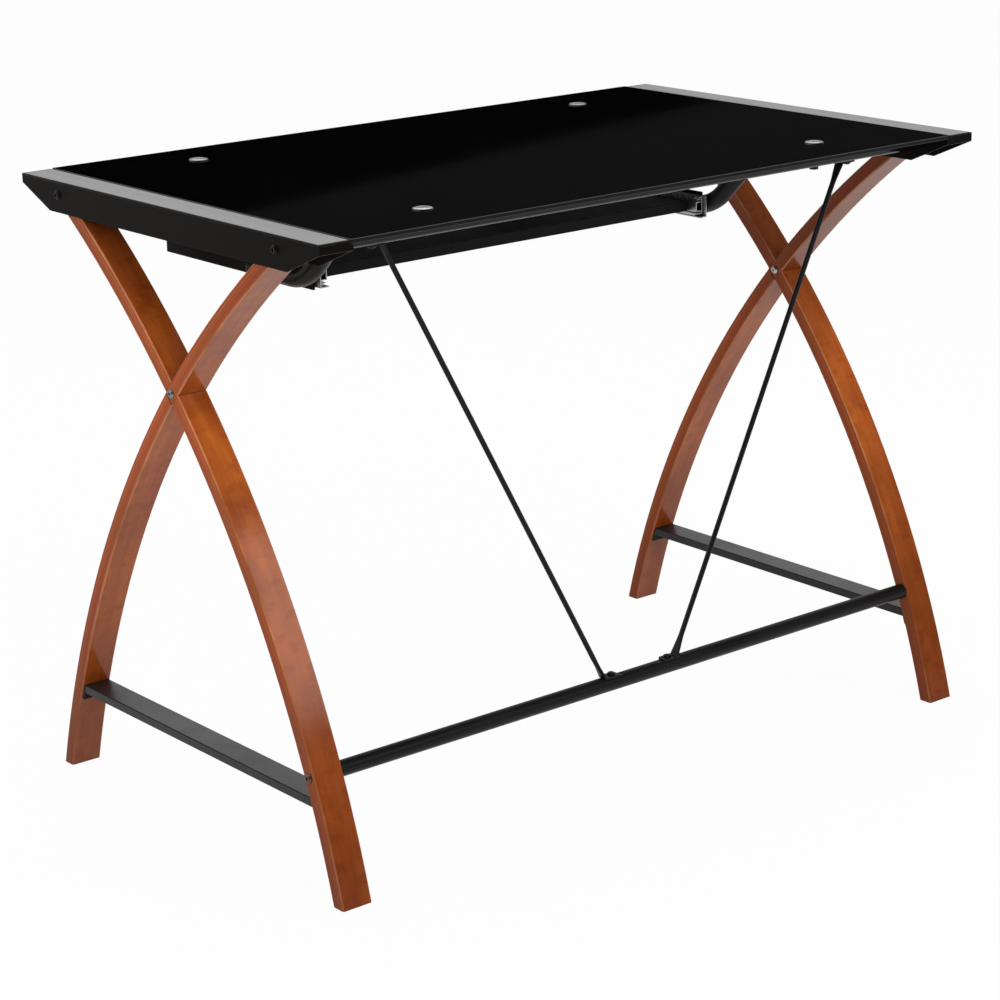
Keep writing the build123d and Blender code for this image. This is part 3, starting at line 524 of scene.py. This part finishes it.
# ================================================================ floor, light and camera
CAMERA_PLACE = Vector((2.1163, 2.5706, 1.3127))
CAMERA_TURN = 39.157         # degrees, of the view from the rear towards +X
CAMERA_DIP = 16.793          # degrees, below level
CAMERA_ROLL = -1.070         # degrees
CAMERA_LENS = 99.33          # millimetres
CAMERA_SENSOR = 36.0         # millimetres

FLOOR_SIZE = 60.0
FLOOR_DROP = 0.0002          # keeps the floor clear of the soles
FLOOR_GLOW = 0.96            # share of plain white on the floor, where the background shows
FLOOR_TONE = 0.68
SKY_STRENGTH = 0.72          # of the light that the white studio gives the desk

FLAG_DISTANCE = 28.0         # from the desk to the dark cards that the glass mirrors
FLAG_FOOT = 2.6              # below it the tray, under the glass, sees the white studio
FLAG_TOP = 7.4
FLAG_REACH = 8.0             # half of a card's width
FLAG_GREY = 0.0138
CARD_LEAD = 0.1              # the black card stands this far ahead of the grey one
CARD_SLOPE = (3.74, 7.23)    # heights of the black card's two ends
REAR_FLAG = [(-40.0, 14.0, 0.0), (20.0, 14.0, 0.0), (20.0, -4.0, 14.0), (-40.0, -4.0, 14.0)]

# name, place, the point it is turned to, width and height, power in watts
SOFTBOXES = (
    ("key", (-1.7, 3.0, 2.25), (0.4, 0.1, 0.3), (0.9, 1.6), 17.0),
    ("rear", (0.5, 2.2, 2.6), (0.0, 0.0, 0.4), (1.2, 1.2), 25.0),
    ("fill", (2.7, -0.5, 1.9), (0.2, 0.0, 0.4), (1.2, 1.2), 18.0),
    ("top", (-0.6, -0.8, 3.2), (0.0, 0.0, 0.5), (2.0, 2.0), 20.0),
)


def stand(name, data):
    """Put a new object in the scene."""
    made = bpy.data.objects.new(name, data)
    bpy.context.scene.collection.objects.link(made)
    return made


def background_rays(tree):
    """1 for the rays that show the background: straight, mirrored or through glass."""
    path = tree.nodes.new("ShaderNodeLightPath")
    seen = path.outputs["Is Camera Ray"]
    for kind in ("Is Glossy Ray", "Is Transmission Ray"):
        either = tree.nodes.new("ShaderNodeMath")
        either.operation = "MAXIMUM"
        tree.links.new(seen, either.inputs[0])
        tree.links.new(path.outputs[kind], either.inputs[1])
        seen = either.outputs[0]
    return seen


def floor():
    """Wide pale floor that stays near white and keeps the desk's soft shadow."""
    bpy.ops.mesh.primitive_plane_add(size=FLOOR_SIZE, location=(0.0, 0.0, -FLOOR_DROP))
    plane = bpy.context.object
    plane.name = "floor"
    g = Graph("floor")
    g.set(Base_Color=grey(FLOOR_TONE), Roughness=0.9, Specular_IOR_Level=0.1)
    glow = g.add("ShaderNodeEmission")
    blend = g.add("ShaderNodeMixShader")
    share = g.scaled(background_rays(g.tree), FLOOR_GLOW)
    g.feed_all(blend, share, g.shader.outputs[0], glow.outputs[0])
    g.join(blend.outputs[0], g.tree.nodes["Material Output"].inputs["Surface"])
    plane.data.materials.append(g.material)


def sky():
    """White studio, plain and even for the light on the desk."""
    world = bpy.data.worlds.new("studio")
    bpy.context.scene.world = world
    world.use_nodes = True
    tree = world.node_tree
    background = tree.nodes["Background"]
    background.inputs["Color"].default_value = grey(1.0)
    strength = tree.nodes.new("ShaderNodeMix")
    strength.inputs["A"].default_value = SKY_STRENGTH
    strength.inputs["B"].default_value = 1.0
    tree.links.new(background_rays(tree), strength.inputs["Factor"])
    tree.links.new(strength.outputs["Result"], background.inputs["Strength"])


def flag(name, corners, level):
    """Dark upright card around the studio, that only reflections show."""
    mesh = bpy.data.meshes.new(name)
    mesh.from_pydata(corners, [], [tuple(range(len(corners)))])
    card = stand(name, mesh)
    g = Graph(name)
    glow = g.add("ShaderNodeEmission")
    glow.inputs["Color"].default_value = grey(level)
    g.join(glow.outputs[0], g.tree.nodes["Material Output"].inputs["Surface"])
    mesh.materials.append(g.material)
    card.visible_camera = card.visible_diffuse = card.visible_shadow = False
    card.visible_transmission = card.visible_volume_scatter = False


def flags():
    """Cards that the glass top mirrors, and one that darkens the rear half of the studio."""
    turn = math.radians(CAMERA_TURN)
    away = Vector((-math.sin(turn), -math.cos(turn), 0.0))
    across = Vector((-away.y, away.x, 0.0))

    def mirrored(distance, far_height, near_height):
        ends = ((-FLAG_REACH, FLAG_FOOT), (FLAG_REACH, FLAG_FOOT),
                (FLAG_REACH, near_height), (-FLAG_REACH, far_height))
        return [away * distance + across * side + Vector((0.0, 0.0, up)) for side, up in ends]

    flag("mirrored_flag", mirrored(FLAG_DISTANCE, FLAG_TOP, FLAG_TOP), FLAG_GREY)
    flag("mirrored_card", mirrored(FLAG_DISTANCE - CARD_LEAD, *CARD_SLOPE), 0.0)
    flag("rear_flag", REAR_FLAG, FLAG_GREY)


def softbox(name, place, aim, size, power):
    """Soft light at a place, turned to a point."""
    lamp = bpy.data.lights.new(name, "AREA")
    lamp.shape = "RECTANGLE"
    lamp.size, lamp.size_y = size
    lamp.energy = power
    made = stand(name, lamp)
    made.location = place
    made.rotation_euler = (Vector(aim) - Vector(place)).to_track_quat("-Z", "Y").to_euler()


def camera():
    """Camera at the photograph's angle: behind the desk's right end, looking down at it."""
    turn, dip, roll = (math.radians(v) for v in (CAMERA_TURN, CAMERA_DIP, CAMERA_ROLL))
    ahead = Vector((-math.sin(turn) * math.cos(dip), -math.cos(turn) * math.cos(dip),
                    -math.sin(dip)))
    right = Vector((-math.cos(turn), math.sin(turn), 0.0))
    up = right.cross(ahead)
    rolled_right = right * math.cos(roll) + up * math.sin(roll)
    rolled_up = up * math.cos(roll) - right * math.sin(roll)
    data = bpy.data.cameras.new("camera")
    data.lens = CAMERA_LENS
    data.sensor_width = CAMERA_SENSOR
    made = stand("camera", data)
    turned = Matrix((rolled_right, rolled_up, -ahead)).transposed().to_4x4()
    made.matrix_world = Matrix.Translation(CAMERA_PLACE) @ turned
    bpy.context.scene.camera = made


floor()
sky()
flags()
for box in SOFTBOXES:
    softbox(*box)
camera()
bpy.context.scene.view_settings.view_transform = "Standard"
